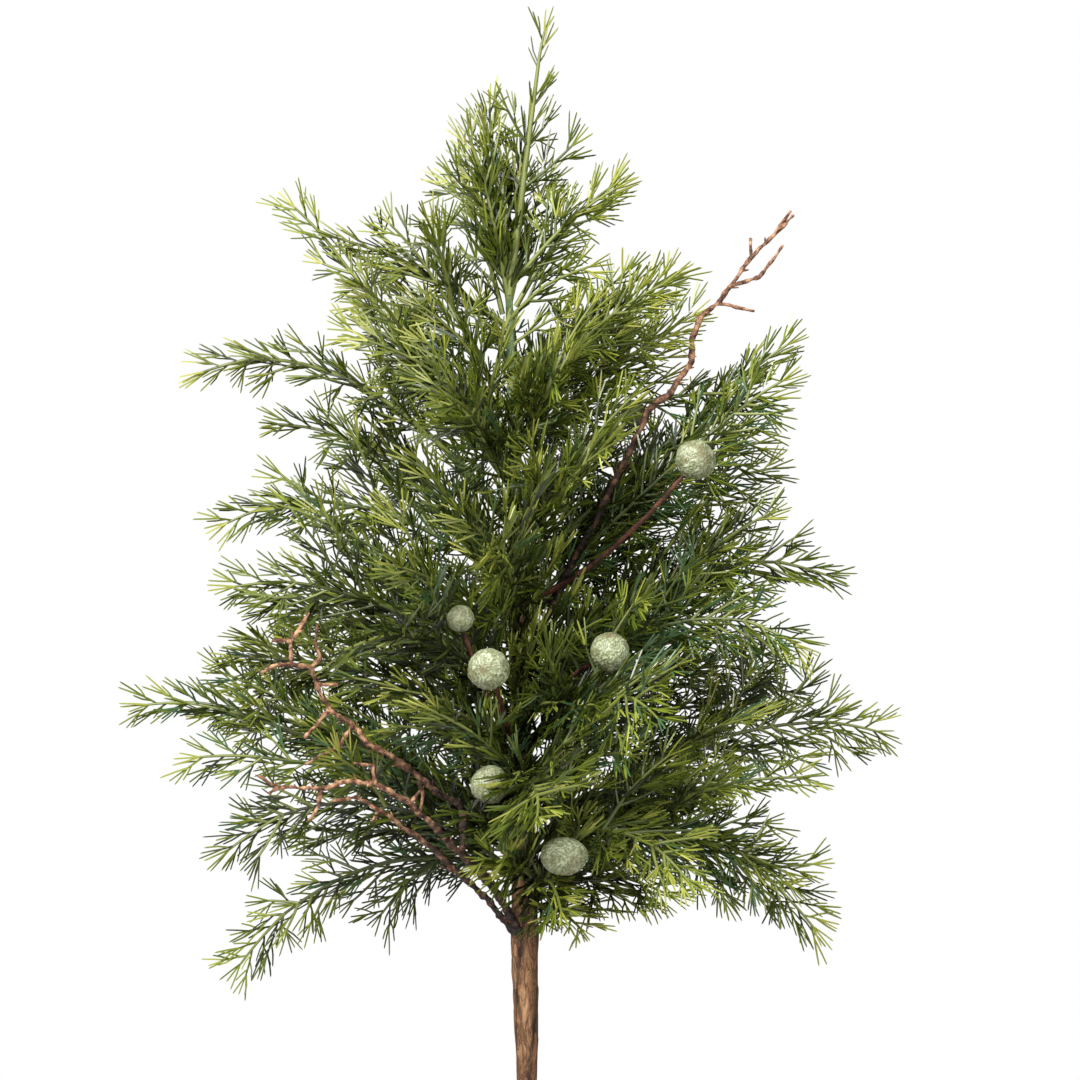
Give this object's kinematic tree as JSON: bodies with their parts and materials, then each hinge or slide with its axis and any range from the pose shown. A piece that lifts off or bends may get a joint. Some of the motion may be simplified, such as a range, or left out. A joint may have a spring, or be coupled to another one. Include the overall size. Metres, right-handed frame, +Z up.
{
  "type": "potted artificial juniper",
  "caption": "Artificial juniper in a plain clay pot: a taped trunk with flat sprays of moulded green needles, round grey-green cones on stalks and bare brown twigs.",
  "frame": {"origin": "middle of the pot's flat underside, where it stands", "axes": "+Z up along the trunk; the picture's viewer stands on the -Y side, with +X to the viewer's right"},
  "size_m": [0.3962, 0.2932, 0.6684],
  "materials": {
    "clay": "matt, unglazed terracotta",
    "potting_mix": "dark, coarse potting mix",
    "trunk_tape": "creased brown paper tape round wires, matt",
    "bough": "moulded dark green, satin",
    "needles_light": "moulded yellow-green needles, satin",
    "needles_mid": "moulded mid green needles, satin",
    "needles_dark": "moulded dark green needles, satin",
    "cone": "chalky pale grey-green, wrinkled",
    "bare_twig": "knobbly brown bark, matt"
  },
  "bodies": {
    "root": {"pot": "clay", "potting_mix": "potting_mix", "trunk": "trunk_tape", "bough_left_4": "bough", "bough_left_7": "bough", "bough_left_8": "bough", "bough_left_10": "bough", "bough_right_4": "bough", "bough_right_6": "bough", "bough_right_8": "bough", "bough_right_9": "bough", "foliage_left_1": "needles_light", "foliage_left_2": "needles_mid", "foliage_left_3": "needles_light", "foliage_left_4": "needles_mid", "foliage_left_5": "needles_dark", "foliage_left_6": "needles_mid", "foliage_left_7": "needles_dark", "foliage_left_8": "needles_mid", "foliage_left_9": "needles_mid", "foliage_left_10": "needles_mid", "foliage_left_11": "needles_mid", "foliage_right_1": "needles_light", "foliage_right_2": "needles_mid", "foliage_right_3": "needles_mid", "foliage_right_4": "needles_light", "foliage_right_5": "needles_mid", "foliage_right_6": "needles_mid", "foliage_right_7": "needles_dark", "foliage_right_8": "needles_light", "foliage_right_9": "needles_mid", "foliage_right_10": "needles_light", "foliage_front_1": "needles_light", "foliage_front_2": "needles_mid", "foliage_front_3": "needles_mid", "foliage_front_4": "needles_light", "foliage_front_5": "needles_dark", "foliage_front_6": "needles_mid", "foliage_front_7": "needles_mid", "foliage_front_8": "needles_light", "foliage_front_9": "needles_mid", "foliage_back_1": "needles_mid", "foliage_back_2": "needles_dark", "foliage_back_3": "needles_mid", "foliage_back_4": "needles_mid", "foliage_back_5": "needles_mid", "foliage_back_6": "needles_dark", "foliage_back_7": "needles_mid", "foliage_leader": "needles_light", "cone_1": "cone", "cone_2": "cone", "cone_3": "cone", "cone_4": "cone", "cone_5": "cone", "cone_6": "cone", "cone_7": "cone", "bare_twig_right_tall": "bare_twig", "bare_twig_left_upper": "bare_twig", "bare_twig_left_middle": "bare_twig", "bare_twig_left_lower": "bare_twig"}
  },
  "joints": []
}
